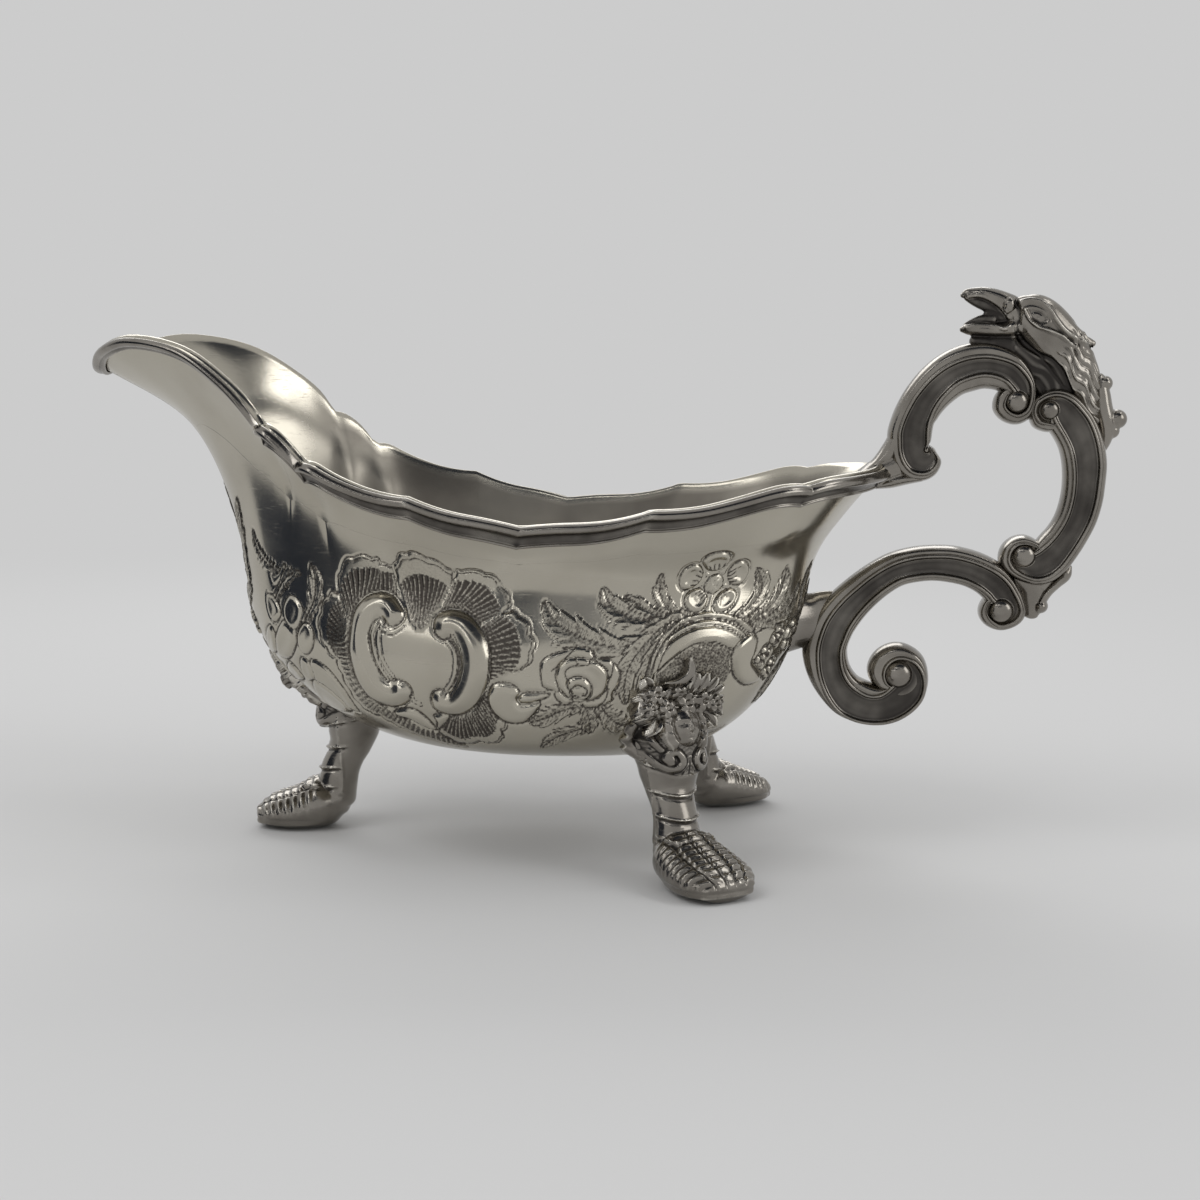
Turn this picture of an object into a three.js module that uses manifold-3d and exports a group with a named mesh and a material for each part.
// A silver cream boat: a raised bowl with a long pouring lip, standing on three cast legs,
// with a cast scroll handle that ends in an open-beaked bird head.
// Millimetres, +Z up. The lip points to -X and the handle to +X. The feet stand on z = 0.

import * as THREE from 'three';
import { mergeVertices } from 'three/addons/utils/BufferGeometryUtils.js';
import Module from 'manifold-3d';

const wasm = await Module();
wasm.setup();

// Sheet, seams, and the finest detail that a casting keeps
const wall = 1.2;
const seam = 0.3;
const finest = 0.06;

// Bowl, rim
const spoutReach = 81.9;
const lipHeight = 79.9;
const tipDrop = 4.7;
const lipHalfWidth = 18.4;
const throatX = 46.6;
const throatHeight = 66.3;
const rimHalfWidth = 28.8;
const saddleHeight = 53.9;
const shoulderHeight = 60.2;
const rearReach = 46;
const rearHeight = 62.4;
const rearHalfWidth = 13.2;

// Bowl, body: each level has a front reach, a rear reach, a half width and a height
const waist = {
  front: 58.2, rear: rearReach - 10.4, half: 26.6, height: 45, frontLift: 5, rearLift: 3,
};
const belly = {
  front: 54.8, rear: rearReach - 13.6, half: 31, height: 33.4, frontLift: 0.6, rearLift: 1.6,
  stern: 0.85,
};
const lower = {
  front: 44.4, rear: rearReach - 19.6, half: 28, height: 21.6, frontLift: 1.6, rearLift: 2.6,
  stern: 0.8,
};
const base = {
  front: 29.5, rear: rearReach - 30, half: 15.5, height: 16.6, frontLift: 0.3, rearLift: 0,
};
const keel = {
  front: 22, rear: rearReach - 38, half: 0, height: 16.2, frontLift: 0, rearLift: 0,
};
const midshipX = -9;

// Scalloped rim: place along the boat, height of the point (+) or notch (-), and its reach
const rimPoints = [
  { x: -throatX - 2.6, rise: -1.3, reach: 3 },
  { x: -throatX + 4.3, rise: -1.5, reach: 3.6 },
  { x: -24.5, rise: 0.9, reach: 8.5 },
  { x: -8, rise: -0.8, reach: 8 },
  { x: 11.4, rise: 0.9, reach: 9 },
  { x: rearReach - 11.5, rise: -0.8, reach: 6 },
];

// Applied border and lip wire
const borderHeight = 2.8;
const borderThickness = 1.3;
const lipWireHeight = 1.7;
const lipWireThickness = 1;
const wireJoinX = -throatX - 2.6;
const wireEndX = rearReach - 2.6;

// Legs
const legMeetX = -4;
const frontLegInset = 12.8;
const rearLegInset = 0.7;
const rearLegAngle = 51;
const frontFootLength = 14.1;
const rearFootLength = 15.4;
const footHalfWidth = 6.5;
const ankleHeight = 9.6;
const ankleHalfDepth = 3.1;
const ankleHalfWidth = 3.3;
const kneeHalfWidth = 5.4;
const plateCount = 4;
const plateFlare = 0.35;

// Knee castings
const shieldThickness = 0.9;
const shieldHalfWidth = 7.8;
const shieldBottom = 17.4;
const shieldTop = 28.5;
const maskHeight = 24;
const maskHalfWidth = 2.7;
const maskHalfHeight = 3;
const shieldBack = 4;
const maskDepth = 1.9;
const hairDepth = 1.3;
const maskStandOff = -0.1;
const flowerRadius = 1.35;
const crownFlowers = 5;
const crownSpread = 62;

// Handle: scroll straps are given as centre line and half width, measured from the rim's rear end
const strapHalfBreadth = 3.3;
const upperBossRadius = 3.6;
const backTopBossRadius = 2.6;
const backLowBossRadius = 3.3;
const tailBossRadius = 3.2;
const voluteRadius = 5.2;
const ballRadius = 1.6;
const voluteBallRadius = 1.8;
const socketHeight = 37.2;
const socketHalfHeight = 4.8;
const socketHalfBreadth = 4.6;

// Finishes
const brightSilver = { color: 0xb8b2a8, roughness: 0.22, metalness: 1 };
const castSilver = { color: 0x6f6a64, roughness: 0.34, metalness: 1 };

function silver(finish) {
  return new THREE.MeshStandardMaterial(finish);
}

// Solids

function signedVolume(geometry) {
  const position = geometry.attributes.position;
  const index = geometry.index;
  const a = new THREE.Vector3();
  const b = new THREE.Vector3();
  const c = new THREE.Vector3();
  let volume = 0;
  for (let i = 0; i < index.count; i += 3) {
    a.fromBufferAttribute(position, index.getX(i));
    b.fromBufferAttribute(position, index.getX(i + 1));
    c.fromBufferAttribute(position, index.getX(i + 2));
    volume += a.dot(b.cross(c)) / 6;
  }
  return volume;
}

// A geometry reduced to shared points, with its faces pointing out
function welded(geometry) {
  const bare = geometry.clone();
  bare.deleteAttribute('normal');
  bare.deleteAttribute('uv');
  const merged = mergeVertices(bare, 1e-4);
  const kept = [];
  const index = merged.index;
  for (let i = 0; i < index.count; i += 3) {
    const [a, b, c] = [index.getX(i), index.getX(i + 1), index.getX(i + 2)];
    if (a !== b && b !== c && c !== a) kept.push(a, b, c);
  }
  merged.setIndex(kept);
  if (signedVolume(merged) < 0) {
    for (let i = 0; i < kept.length; i += 3) [kept[i], kept[i + 1]] = [kept[i + 1], kept[i]];
    merged.setIndex(kept);
  }
  return merged;
}

function toSolid(geometry) {
  const merged = welded(geometry);
  return new wasm.Manifold(new wasm.Mesh({
    numProp: 3,
    vertProperties: new Float32Array(merged.attributes.position.array),
    triVerts: new Uint32Array(merged.index.array),
  }));
}

function joined(solids) {
  return solids.reduce((whole, solid) => whole.add(solid));
}

// What is left of a casting once its neighbours are cut away: its main body
function fitted(solid, neighbours) {
  const cut = neighbours.reduce((rest, neighbour) => rest.subtract(neighbour), solid);
  const bodies = cut.simplify(finest).decompose();
  return bodies.reduce((best, body) => (body.volume() > best.volume() ? body : best));
}

function toGeometry(solid) {
  const mesh = solid.getMesh();
  const geometry = new THREE.BufferGeometry();
  geometry.setAttribute('position', new THREE.BufferAttribute(new Float32Array(mesh.vertProperties), 3));
  geometry.setIndex(new THREE.BufferAttribute(new Uint32Array(mesh.triVerts), 1));
  geometry.computeVertexNormals();
  return geometry;
}

// A closed body from rings of points, each ring closed, with the two end rings capped
function ringBody(rings) {
  const around = rings[0].length;
  const points = rings.flat();
  const index = [];
  for (let row = 0; row + 1 < rings.length; row += 1) {
    for (let i = 0; i < around; i += 1) {
      const next = (i + 1) % around;
      const a = row * around + i;
      const b = row * around + next;
      index.push(a, b, a + around, b, b + around, a + around);
    }
  }
  const capEnd = (ring, start, flip) => {
    const centre = points.length;
    points.push(ring.reduce((sum, p) => sum.add(p), new THREE.Vector3()).divideScalar(around));
    for (let i = 0; i < around; i += 1) {
      const a = start + i;
      const b = start + ((i + 1) % around);
      index.push(...(flip ? [centre, b, a] : [centre, a, b]));
    }
  };
  capEnd(rings[0], 0, true);
  capEnd(rings[rings.length - 1], (rings.length - 1) * around, false);
  const geometry = new THREE.BufferGeometry().setFromPoints(points);
  geometry.setIndex(index);
  return geometry;
}

// Sweeps in the upright plane

function ellipseSection(sides) {
  return Array.from({ length: sides }, (_, i) => {
    const angle = (2 * Math.PI * i) / sides;
    return [Math.cos(angle), Math.sin(angle)];
  });
}

// Cross section of a scroll strap: rounded edges, a bead along each side and a sunk panel
const strapSection = [
  [0.96, 0.5], [0.62, 1], [0.48, 0.84], [-0.48, 0.84], [-0.62, 1], [-0.96, 0.5],
  [-0.96, -0.5], [-0.62, -1], [-0.48, -0.84], [0.48, -0.84], [0.62, -1], [0.96, -0.5],
];

// Sweep along stations [x, z, half depth, half breadth]. Breadth lies along Y.
// Grow thickens the sweep all round, for the seat that a neighbour is cut to.
function sweep(stations, section, { steps = 2, grow = 0, stops = null, swell = () => 0 } = {}) {
  const line = stations.map(([x, z]) => new THREE.Vector3(x, 0, z));
  const size = stations.map(([, , depth, breadth]) => new THREE.Vector3(depth, breadth, 0));
  const path = new THREE.CatmullRomCurve3(line, false, 'catmullrom', 0.5);
  const girth = new THREE.CatmullRomCurve3(size, false, 'catmullrom', 0.5);
  const count = (stations.length - 1) * steps;
  const places = stops ?? Array.from({ length: count + 1 }, (_, i) => i / count);
  const ring = (place, along, share) => {
    const centre = path.getPoint(place);
    const ahead = path.getTangent(place);
    const across = new THREE.Vector3(ahead.z, 0, -ahead.x);
    const { x: depth, y: breadth } = girth.getPoint(place);
    const extra = grow + swell(place);
    return section.map(([u, v]) => centre.clone()
      .addScaledVector(ahead, along)
      .addScaledVector(across, u * (depth + extra) * share)
      .add(new THREE.Vector3(0, v * (breadth + extra) * share, 0)));
  };
  const endDepth = (place) => Math.abs(girth.getPoint(place).x) * 0.6 + grow;
  const rings = places.map((place) => ring(place, 0, 1));
  rings.unshift(ring(places[0], -endDepth(0), 0.55));
  rings.push(ring(places[places.length - 1], endDepth(1), 0.55));
  return toSolid(ringBody(rings));
}

// Round boss at the end of a scroll, turned about Y: a beaded disc with a ball in its middle
function boss(x, z, radius, ball, halfBreadth, grow = 0) {
  const r = radius + grow;
  const b = halfBreadth + grow;
  const half = [
    [0, b + ball * 0.5], [ball * 0.95, b], [ball, b - 0.35], [r * 0.8, b - 0.35], [r * 0.88, b],
    [r, b * 0.6],
  ];
  const profile = [...half, ...half.slice().reverse().map(([p, q]) => [p, -q])];
  const turned = new THREE.LatheGeometry(profile.map(([p, q]) => new THREE.Vector2(p, q)), 12);
  turned.translate(x, 0, z);
  return toSolid(turned);
}

function bead(x, y, z, radius, stretch = 1) {
  const ball = new THREE.SphereGeometry(radius, 8, 4);
  ball.scale(1, stretch, 1);
  ball.translate(x, y, z);
  return toSolid(ball);
}

// Bowl surface: closed loops through stations at each level, and a smooth profile through the levels

const rimStations = [
  [-spoutReach, 0, lipHeight - tipDrop],
  [-spoutReach + 2.9, lipHalfWidth - 10.2, lipHeight - 1.9],
  [-spoutReach + 9.7, lipHalfWidth - 4, lipHeight],
  [-spoutReach + 19.1, lipHalfWidth, lipHeight - 1.5],
  [-throatX - 8.2, lipHalfWidth + 3.2, throatHeight + 7.3],
  [-throatX, rimHalfWidth - 4.4, throatHeight],
  [-throatX + 11.1, rimHalfWidth - 1.6, saddleHeight + 5.6],
  [-18, rimHalfWidth, saddleHeight + 1.1],
  [0, rimHalfWidth - 0.8, saddleHeight],
  [18, rimHalfWidth - 2.8, shoulderHeight - 3.7],
  [32, rimHalfWidth - 7.2, shoulderHeight],
  [rearReach - 5, rearHalfWidth, rearHeight - 1.3],
  [rearReach - 0.8, 5, rearHeight - 0.8],
  [rearReach, 0, rearHeight],
];

// How far each rim station draws in to the neck below it: along, across and down
const neckDraw = [
  [15.6, 0, 9.2], [13.6, 3.2, 11], [9.6, 4.8, 11.7], [5.4, 5, 11.8], [3.8, 4.8, 11.2],
  [3, 4.2, 8.7], [1.7, 3, 6.2], [0, 1.9, 5.1], [-1, 1.4, 4.7], [-2.5, 1.6, 5.7],
  [-4, 1.8, 7.6], [-5.2, 0.8, 7.1], [-5.9, 0.5, 7], [-6.1, 0, 7.6],
];
const neckStations = rimStations.map(([x, half, z], i) => {
  const [along, across, down] = neckDraw[i];
  return [x + along, half - across, z - down];
});

const stationAngles = [0, 6.5, 13.6, 21.7, 32.6, 47, 63, 82.6, 101, 121.7, 140, 156, 169, 180];

function bodyStations(level) {
  return stationAngles.map((degrees) => {
    const angle = THREE.MathUtils.degToRad(degrees);
    const reach = degrees < 90 ? midshipX + level.front : level.rear - midshipX;
    const lift = degrees < 90 ? level.frontLift : level.rearLift;
    const ease = Math.cos(angle) ** 2;
    return [
      midshipX - reach * Math.cos(angle),
      level.half * Math.sin(angle) ** (degrees < 90 ? 1 : level.stern ?? 1),
      level.height + lift * ease,
    ];
  });
}

const levels = [...[keel, base, lower, belly, waist].map(bodyStations), neckStations, rimStations];
const rimLevel = levels.length - 1;
const lastStation = stationAngles.length - 1;
const loopCount = 2 * lastStation;

function loopCurve(stations) {
  const near = stations.map(([x, half, z]) => new THREE.Vector3(x, -half, z));
  const far = stations.slice(1, -1).reverse().map(([x, half, z]) => new THREE.Vector3(x, half, z));
  return new THREE.CatmullRomCurve3([...near, ...far], true, 'catmullrom', 0.5);
}
const loops = levels.map(loopCurve);

function onLoop(level, station) {
  const turn = (station / loopCount) % 1;
  return loops[level].getPoint(turn < 0 ? turn + 1 : turn);
}

// Height of the scalloped edge at a place along the boat: each point or notch fades as a parabola
function scallop(x) {
  return rimPoints.reduce((sum, { x: centre, rise, reach }) => {
    const near = Math.max(0, 1 - Math.abs(x - centre) / reach);
    return sum + rise * near * near;
  }, 0);
}

function bowlPoint(station, level) {
  const profile = loops.map((_, i) => onLoop(i, station));
  const curve = new THREE.CatmullRomCurve3(profile, false, 'centripetal');
  const point = curve.getPoint(level / rimLevel);
  const fade = THREE.MathUtils.clamp((level - (rimLevel - 2.2)) / 1.2, 0, 1) ** 2;
  const rim = onLoop(rimLevel, station);
  const along = onLoop(rimLevel, station + 0.05).sub(onLoop(rimLevel, station - 0.05));
  const out = new THREE.Vector3(along.y, -along.x, 0).normalize();
  const wave = scallop(rim.x) * fade;
  return point.addScaledVector(out, 0.9 * wave).add(new THREE.Vector3(0, 0, wave));
}

// Frame on the bowl: the place, the outward direction and the direction up the wall
function bowlFrame(station, level) {
  const high = Math.min(level + 0.03, rimLevel);
  const low = Math.max(high - 0.06, 0.005);
  const up = bowlPoint(station, high).sub(bowlPoint(station, low));
  const at = Math.max(level, 0.005);
  const along = bowlPoint(station + 0.04, at).sub(bowlPoint(station - 0.04, at));
  const out = along.clone().cross(up).normalize();
  return { point: bowlPoint(station, level), out, up: up.normalize() };
}

// Places round the loop where the mesh has a column: stations, midpoints and the scallops' points
function stationAtX(x) {
  let [low, high] = [0, lastStation];
  for (let i = 0; i < 40; i += 1) {
    const middle = (low + high) / 2;
    if (onLoop(rimLevel, middle).x < x) low = middle;
    else high = middle;
  }
  return low;
}
const scallopStations = rimPoints.map(({ x }) => stationAtX(x));
const halfColumns = Array.from({ length: 2 * lastStation + 1 }, (_, i) => i / 2)
  .filter((place) => scallopStations.every((point) => Math.abs(point - place) > 0.18))
  .concat(scallopStations)
  .sort((a, b) => a - b);
const columns = [...halfColumns, ...halfColumns.slice(1, -1).reverse().map((place) => loopCount - place)];
const rows = [0, 0.5, 1, 1.4, 1.8, 2.2, 2.6, 3, 3.45, 3.9, 4.35, 4.8, 5.2, 5.6, 6];

// The bowl's skin as rings, moved out from the outer surface by a distance
function bowlRings(distance) {
  return rows.map((level) => columns.map((station) => {
    const { point, out } = bowlFrame(station, level);
    return point.addScaledVector(out, distance);
  }));
}

// Open vessel: outer skin up to the rim, over the edge, and inner skin down to the floor.
// At the keel each skin closes on itself along the middle line.
function makeBowl() {
  const rings = [...bowlRings(0), ...bowlRings(-wall).reverse()];
  const around = columns.length;
  const index = [];
  for (let row = 0; row + 1 < rings.length; row += 1) {
    for (let i = 0; i < around; i += 1) {
      const a = row * around + i;
      const b = row * around + ((i + 1) % around);
      index.push(a, b, a + around, b, b + around, a + around);
    }
  }
  for (const ring of [rings[0], rings[rings.length - 1]]) ring.forEach((point) => point.setY(0));
  const geometry = new THREE.BufferGeometry().setFromPoints(rings.flat());
  geometry.setIndex(index);
  return toSolid(geometry);
}

// The bowl filled to the brim and grown by a distance: the shape that its neighbours seat on
function bowlSeat(distance) {
  const rings = bowlRings(distance);
  rings[0].forEach((point) => point.setY(0));
  const edge = (inset) => columns.map((station) => {
    const { point, out, up } = bowlFrame(station, rimLevel);
    return point.addScaledVector(out, -inset).addScaledVector(up, seam);
  });
  return toSolid(ringBody([...rings, edge(-distance), edge(wall + seam)]));
}

// Moulded wires: a profile of [down from the edge, out from the wall], carried along the rim

const borderProfile = [
  [borderHeight, 0], [borderHeight, 0.5], [borderHeight - 0.4, 0.85], [borderHeight - 1.3, 0.55],
  [0.75, 0.9], [0.1, 1], [-0.45, 0.7], [-0.45, 0],
].map(([down, out]) => [down, out * borderThickness]);

const lipProfile = [
  [lipWireHeight, 0], [lipWireHeight, 0.5], [0.9, 0.85], [0.1, 1], [-0.4, 0.7], [-0.4, 0],
].map(([down, out]) => [down, out * lipWireThickness]);

function rimWire(profile, places, grow = 0) {
  const rings = places.map((station) => {
    const { point, up } = bowlFrame(station, rimLevel);
    const step = 0.15;
    const drop = point.distanceTo(bowlPoint(station, rimLevel - step)) / step;
    return profile.map(([down, out]) => {
      const reach = down > 0 ? down + grow : down - grow;
      const level = rimLevel - Math.max(0, reach) / drop;
      const frame = bowlFrame(station, level);
      const lift = Math.max(0, -reach);
      return frame.point.addScaledVector(frame.out, out > 0 ? seam + out + grow : seam - grow)
        .addScaledVector(up, lift);
    });
  });
  return toSolid(ringBody(rings));
}

function placesBetween(start, end) {
  const inside = columns.flatMap((place, i) => {
    const next = i + 1 < columns.length ? columns[i + 1] : loopCount;
    return [place, (place + next) / 2];
  });
  const turns = [...inside.map((place) => place - loopCount), ...inside];
  const margin = 0.04;
  return [start, ...turns.filter((place) => place > start + margin && place < end - margin), end];
}

const stationPerMm = 1 / onLoop(rimLevel, stationAtX(wireJoinX) - 0.5)
  .distanceTo(onLoop(rimLevel, stationAtX(wireJoinX) + 0.5));
const joinStation = stationAtX(wireJoinX);
const wireStart = joinStation + seam * stationPerMm;
const wireEnd = stationAtX(wireEndX);

const borderPlaces = placesBetween(wireStart, wireEnd);
const mirrorPlaces = borderPlaces.map((place) => loopCount - place).reverse();

// Legs, in their own frame: +X outwards, ankle axis at x = 0, sole on z = 0

const shankStations = [
  [-7, ankleHeight + 16.4, kneeHalfWidth + 0.2, kneeHalfWidth + 0.2],
  [-3.8, ankleHeight + 12.4, kneeHalfWidth + 0.2, kneeHalfWidth + 0.3],
  [-2.6, ankleHeight + 9.2, kneeHalfWidth - 0.6, kneeHalfWidth - 0.2],
  [-2.4, ankleHeight + 6.8, 4.2, 4.6],
  [-2, ankleHeight + 4.7, 3.5, 3.9],
  [-1.2, ankleHeight + 2.7, ankleHalfDepth, ankleHalfWidth + 0.2],
  [-0.4, ankleHeight + 0.6, ankleHalfDepth, ankleHalfWidth],
  [0.1, ankleHeight - 1.8, ankleHalfDepth + 0.1, ankleHalfWidth + 0.2],
  [0.3, ankleHeight - 4.6, ankleHalfDepth, ankleHalfWidth + 0.6],
];

const footStations = (length) => [
  [0, 5.2, ankleHalfDepth, ankleHalfWidth + 0.6],
  [2.2, 4.5, 4.2, footHalfWidth - 1],
  [length - 8, 3.2, 3.7, footHalfWidth],
  [length - 4.2, 2.6, 2.9, footHalfWidth - 0.2],
  [length - 1.9, 2, 2, footHalfWidth - 1.6],
];

// Foot section: toes on the upper side, parted by grooves
const toeCount = 4;
const footSides = 18;
const footSection = Array.from({ length: footSides }, (_, i) => {
  const angle = (2 * Math.PI * i) / footSides;
  const top = Math.cos(angle) < 0.3;
  const groove = top ? 0.1 * Math.abs(Math.sin(angle * toeCount)) ** 2 : 0;
  return [Math.cos(angle) * (1 - groove), Math.sin(angle) * (1 - groove)];
});

// Overlapping plates down the shank: each flares towards its lower edge, then steps in
const plateTop = 0.3;
const plateLength = (1 - plateTop) / plateCount;
function plateSwell(place) {
  const turn = Math.max(0, place - plateTop) / plateLength;
  return plateFlare * (turn - Math.floor(turn + 1e-6));
}
const plateStops = [0, 0.1, 0.2, plateTop];
for (let plate = 0; plate < plateCount; plate += 1) {
  const start = plateTop + plate * plateLength;
  plateStops.push(start + plateLength * 0.5, start + plateLength * 0.94);
  plateStops.push(Math.min(1, start + plateLength + 1e-3));
}

function legSolid(length, grow = 0) {
  const shank = sweep(shankStations, ellipseSection(10), { stops: plateStops, swell: plateSwell, grow });
  const foot = sweep(footStations(length), footSection, { grow });
  const ground = new THREE.BoxGeometry(80, 80, 40);
  ground.translate(0, 0, -20);
  return shank.add(foot).subtract(toSolid(ground));
}

// Distance from the point where the legs meet to the belly, at a bearing from the rear end
function bellyReach(degrees) {
  const bellyLevel = 3;
  let [low, high] = [0, lastStation];
  const toMeet = (station) => onLoop(bellyLevel, station).sub(new THREE.Vector3(legMeetX, 0, 0));
  for (let i = 0; i < 40; i += 1) {
    const middle = (low + high) / 2;
    const { x, y } = toMeet(middle);
    if (Math.atan2(-y, x) > THREE.MathUtils.degToRad(degrees)) low = middle;
    else high = middle;
  }
  return Math.hypot(toMeet(low).x, toMeet(low).y);
}

// Shield outline seen from outside: a shell with scalloped sides and rolled lower ends
function shieldOutline(grow) {
  const shape = new THREE.Shape();
  const half = shieldHalfWidth + grow;
  const top = shieldTop + grow;
  const bottom = shieldBottom - grow;
  const middle = (top + bottom) / 2;
  shape.moveTo(0, bottom);
  shape.quadraticCurveTo(half * 0.75, bottom - 0.3, half * 0.86, bottom + 2.6);
  shape.quadraticCurveTo(half * 1.12, bottom + 3.6, half * 0.98, middle - 0.6);
  shape.quadraticCurveTo(half * 1.16, middle + 1.4, half * 0.9, middle + 2.6);
  shape.quadraticCurveTo(half * 0.94, top - 1.2, half * 0.5, top - 1.1);
  shape.quadraticCurveTo(half * 0.28, top + 0.7, 0, top);
  shape.quadraticCurveTo(-half * 0.28, top + 0.7, -half * 0.5, top - 1.1);
  shape.quadraticCurveTo(-half * 0.94, top - 1.2, -half * 0.9, middle + 2.6);
  shape.quadraticCurveTo(-half * 1.16, middle + 1.4, -half * 0.98, middle - 0.6);
  shape.quadraticCurveTo(-half * 1.12, bottom + 3.6, -half * 0.86, bottom + 2.6);
  shape.quadraticCurveTo(-half * 0.75, bottom - 0.3, 0, bottom);
  return shape;
}

// The outline drawn out along +X, which is outwards in the leg's frame
function shieldBlock(grow = 0) {
  const block = new THREE.ExtrudeGeometry(shieldOutline(grow), {
    depth: 26, bevelEnabled: false, curveSegments: 3,
  });
  block.applyMatrix4(new THREE.Matrix4().makeBasis(
    new THREE.Vector3(0, 1, 0), new THREE.Vector3(0, 0, 1), new THREE.Vector3(1, 0, 0),
  ));
  block.translate(-shieldBack - grow, 0, 0);
  return toSolid(block);
}

// Head with its hair and a crown of small flowers, upright at the origin and facing +X
function maskSolid() {
  const head = new THREE.SphereGeometry(1, 10, 7);
  head.scale(maskDepth, maskHalfWidth, maskHalfHeight);
  const hair = new THREE.SphereGeometry(1, 12, 8);
  hair.scale(hairDepth, maskHalfWidth + flowerRadius, maskHalfHeight + flowerRadius);
  const flowers = Array.from({ length: crownFlowers }, (_, i) => {
    const turn = THREE.MathUtils.degToRad(-crownSpread + (2 * crownSpread * i) / (crownFlowers - 1));
    const y = Math.sin(turn) * (maskHalfWidth + 0.6 * flowerRadius);
    return bead(0.1, y, Math.cos(turn) * (maskHalfHeight + 0.5 * flowerRadius), flowerRadius);
  });
  return joined([toSolid(head), toSolid(hair), ...flowers]);
}

// Handle, measured from the rim's rear end: stations are [back, up, half depth]

function strap(stations, grow = 0) {
  const full = stations.map(([x, z, depth]) => [x, z, depth, strapHalfBreadth]);
  return sweep(full, strapSection, { grow });
}

const upperStations = [
  [5.2, 0.4, 3.1], [3.6, 4, 3.1], [4.1, 8, 3], [5.8, 11.5, 3], [8.7, 14.2, 3.2],
  [12.2, 15.4, 3.4], [15.7, 14.9, 3.5], [18.2, 13.2, 3.2], [19.4, 11.4, 2.9],
];
const backStations = [
  [25.6, 8.6, 2.4], [28, 8.5, 3.1], [30, 5, 3.3], [30.9, -1.3, 3.3],
  [30.2, -6.8, 3.5], [28.2, -11.1, 3.5], [25.6, -13.8, 3.3], [22.9, -14.3, 2.9],
];
const lowerStations = [
  [18.9, -21.8, 2.9], [17.1, -17.9, 3], [13.2, -15.9, 2.9], [8.2, -15.4, 2.8],
  [3, -16.3, 3], [-2.9, -19.2, 2.9], [-6.5, -22.9, 3], [-8.6, -27.2, 3.4],
  [-8.7, -31.2, 3.7], [-6.7, -35, 3.8], [-2.6, -37.8, 3.8], [1.6, -37.6, 3.5], [4.4, -35, 3.1],
];
const volute = { x: 2.6, z: -33.5 };
const tailBoss = { x: 18.8, z: -22.2 };
const upperBoss = { x: 19.2, z: 10.8 };
const backTopBoss = { x: 25, z: 8.7 };
const backLowBoss = { x: 21.9, z: -13.8 };

function upperScroll(grow = 0) {
  return joined([
    strap(upperStations, grow),
    boss(upperBoss.x, upperBoss.z, upperBossRadius, ballRadius, strapHalfBreadth, grow),
  ]);
}

function backScroll(grow = 0) {
  return joined([
    strap(backStations, grow),
    boss(backTopBoss.x, backTopBoss.z, backTopBossRadius, ballRadius, strapHalfBreadth, grow),
    boss(backLowBoss.x, backLowBoss.z, backLowBossRadius, ballRadius, strapHalfBreadth, grow),
  ]);
}

function lowerScroll(grow = 0) {
  return joined([
    strap(lowerStations, grow),
    boss(volute.x, volute.z, voluteRadius, voluteBallRadius, strapHalfBreadth, grow),
    boss(tailBoss.x, tailBoss.z, tailBossRadius, voluteBallRadius, strapHalfBreadth, grow),
  ]);
}

function birdHead(grow = 0) {
  const round = ellipseSection(8);
  const horn = (stations) => sweep(stations, round, { grow, steps: 2 });
  const crown = horn([
    [18.5, 23.4, 2.6, 2.6], [22.3, 22.6, 4, 3.4], [25.2, 19.9, 4.1, 3.4],
    [27.6, 16.6, 3.9, 3.1], [29.8, 13.2, 3, 2.6], [31.2, 10.4, 1.8, 1.9],
  ]);
  const upperBeak = horn([
    [10.5, 26.3, 0.5, 0.5], [12.4, 26.3, 1.3, 1.2], [14.2, 25.9, 1.9, 1.7], [16.4, 25.1, 2.6, 2.2],
    [20, 24.6, 2.8, 2.7],
  ]);
  const lowerBeak = horn([
    [10.9, 20.8, 0.5, 0.6], [13, 21.4, 1.3, 1.3], [14.6, 22, 1.9, 1.8], [17, 21.8, 2.5, 2.3],
    [20.4, 21.4, 3, 2.8],
  ]);
  const crest = horn([
    [26, 22.8, 1.5, 1.7], [28.8, 21.2, 1.2, 1.4], [31.2, 19.5, 0.5, 0.6],
  ]);
  const throat = horn([
    [13.5, 19.6, 1.2, 1.8], [17.5, 19.2, 2.4, 2.5], [21.6, 17, 3.2, 2.9], [25.2, 13.6, 3.3, 2.9],
    [28.6, 11, 2.4, 2.4],
  ]);
  const eyes = [-1, 1].map((side) => bead(22.3, side * 3, 23.6, 1.1 + grow));
  return joined([crown, upperBeak, lowerBeak, throat, crest, ...eyes]);
}

function neckLeaf() {
  const leaf = sweep([
    [32.3, 14.2, 0.7, 1], [32.9, 11.6, 1.5, 1.6], [33.6, 8.8, 1.8, 1.8],
    [34.6, 6, 1.5, 1.6], [34.9, 3.2, 0.6, 1],
  ], ellipseSection(10), { steps: 2 });
  return joined([leaf, bead(33, 0, 13.2, 1.1), bead(35.2, 0, 7.5, 1.6, 1.15)]);
}

function lowerSpur() {
  const spur = sweep([
    [29.2, -16, 0.6, 0.9], [26.8, -17.8, 1.4, 1.6], [24, -20, 2, 2.1], [23.2, -22.4, 1.4, 1.6],
  ], ellipseSection(10), { steps: 2 });
  return joined([spur, bead(24.5, 0, -22.7, 1.2, 1.2)]);
}

// Assembly

const group = new THREE.Group();

function addPiece(parent, name, solid, finish) {
  const mesh = new THREE.Mesh(toGeometry(solid), silver(finish));
  mesh.name = name;
  parent.add(mesh);
  return mesh;
}

const bowl = makeBowl();
const seat = bowlSeat(seam);
addPiece(group, 'bowl', bowl, brightSilver);

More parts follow.
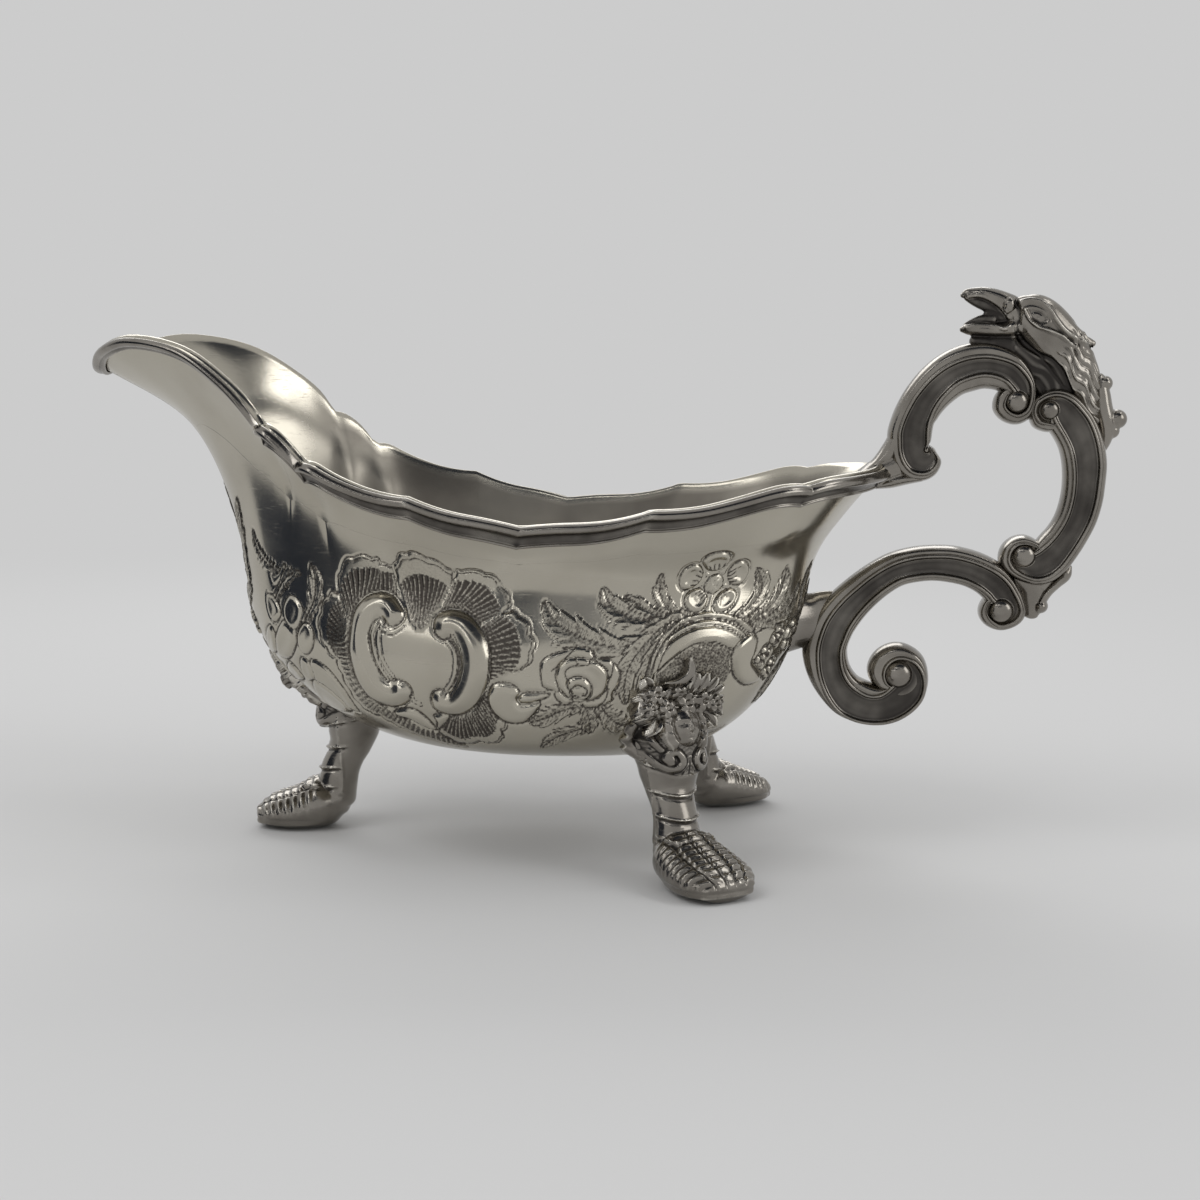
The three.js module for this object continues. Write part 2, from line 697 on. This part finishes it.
const leftBorder = rimWire(borderProfile, borderPlaces);
const rightBorder = rimWire(borderProfile, mirrorPlaces);
addPiece(group, 'rim_wire_left', leftBorder, castSilver);
addPiece(group, 'rim_wire_right', rightBorder, castSilver);
addPiece(group, 'lip_wire', rimWire(lipProfile, placesBetween(-joinStation, joinStation)), castSilver);

// Legs: the shield lies on the bowl, the shank stands under it and the mask covers the join
const shieldOuter = seam + shieldThickness;
const shieldShell = bowlSeat(shieldOuter);
const shieldShellNear = bowlSeat(shieldOuter + seam);

function addLeg(side, degrees, reach, footLength) {
  const frame = new THREE.Group();
  const angle = THREE.MathUtils.degToRad(degrees);
  frame.position.set(legMeetX + reach * Math.cos(angle), reach * Math.sin(angle), 0);
  frame.rotation.z = angle;
  frame.updateMatrixWorld(true);
  group.add(frame);
  const toLeg = frame.matrixWorld.clone().invert();
  const inLeg = (solid) => solid.transform(toLeg.elements);

  const shank = fitted(legSolid(footLength), [inLeg(seat)]);
  const shankNear = legSolid(footLength, seam);
  const apron = inLeg(shieldShell).add(legSolid(footLength, shieldOuter));
  const shield = fitted(shieldBlock().intersect(apron), [inLeg(seat), shankNear]);
  const apronNear = inLeg(shieldShellNear).add(legSolid(footLength, shieldOuter + seam));
  const shieldNear = shieldBlock(seam).intersect(apronNear);

  // The mask leans with the surface that it lies on
  const target = new THREE.Mesh(toGeometry(apron));
  const faceAt = (z) => {
    const ray = new THREE.Raycaster(new THREE.Vector3(40, 0, z), new THREE.Vector3(-1, 0, 0));
    return ray.intersectObject(target)[0].point.x;
  };
  const rise = faceAt(maskHeight + maskHalfHeight) - faceAt(maskHeight - maskHalfHeight);
  const lean = THREE.MathUtils.radToDeg(Math.atan2(rise, 2 * maskHalfHeight));
  const placed = maskSolid().rotate([0, lean, 0])
    .translate([faceAt(maskHeight) + maskStandOff, 0, maskHeight]);
  const mask = fitted(placed, [inLeg(seat), shieldNear, shankNear]);

  addPiece(frame, `${side}_shield`, shield, castSilver);
  addPiece(frame, `${side}_leg`, shank, castSilver);
  addPiece(frame, `${side}_mask`, mask, castSilver);
}
const rearLegReach = bellyReach(rearLegAngle) - rearLegInset;
addLeg('front', 180, bellyReach(180) - frontLegInset, frontFootLength);
addLeg('left', -rearLegAngle, rearLegReach, rearFootLength);
addLeg('right', rearLegAngle, rearLegReach, rearFootLength);

// Handle
const handle = new THREE.Group();
handle.position.set(rearReach, 0, rearHeight);
handle.updateMatrixWorld(true);
group.add(handle);
const toHandle = handle.matrixWorld.clone().invert();
const inHandle = (solid) => solid.transform(toHandle.elements);

const seatForHandle = inHandle(seat);
const upperNear = upperScroll(seam);
const backNear = backScroll(seam);
const lowerNear = lowerScroll(seam);
const headNear = birdHead(seam);

addPiece(handle, 'upper_scroll', fitted(upperScroll(), [seatForHandle]), castSilver);
addPiece(handle, 'back_scroll', fitted(backScroll(), [upperNear]), castSilver);
addPiece(handle, 'lower_scroll', fitted(lowerScroll(), [backNear, seatForHandle]), castSilver);
addPiece(handle, 'bird_head', fitted(birdHead(), [upperNear, backNear]), castSilver);
addPiece(handle, 'neck_leaf', fitted(neckLeaf(), [backNear, headNear]), castSilver);
addPiece(handle, 'lower_spur', fitted(lowerSpur(), [backNear, lowerNear]), castSilver);

const upperSocket = sweep([
  [-3, -1.8, 2.3, 4.2], [0, -0.8, 2.6, 3.8], [3, 0.2, 2.8, 3.2],
], ellipseSection(14));
const bordersNear = [borderPlaces, mirrorPlaces]
  .map((places) => inHandle(rimWire(borderProfile, places, seam)));
addPiece(handle, 'upper_socket', fitted(upperSocket, [seatForHandle, upperNear, ...bordersNear]), castSilver);

const socketZ = socketHeight - rearHeight;
const lowerSocket = sweep([
  [-18, socketZ - 0.2, socketHalfHeight + 0.8, socketHalfBreadth + 1],
  [-13, socketZ, socketHalfHeight, socketHalfBreadth],
  [-8, socketZ + 0.2, socketHalfHeight - 0.2, strapHalfBreadth + 0.1],
], ellipseSection(16));
addPiece(handle, 'lower_socket', fitted(lowerSocket, [seatForHandle, lowerNear]), castSilver);

export default group;
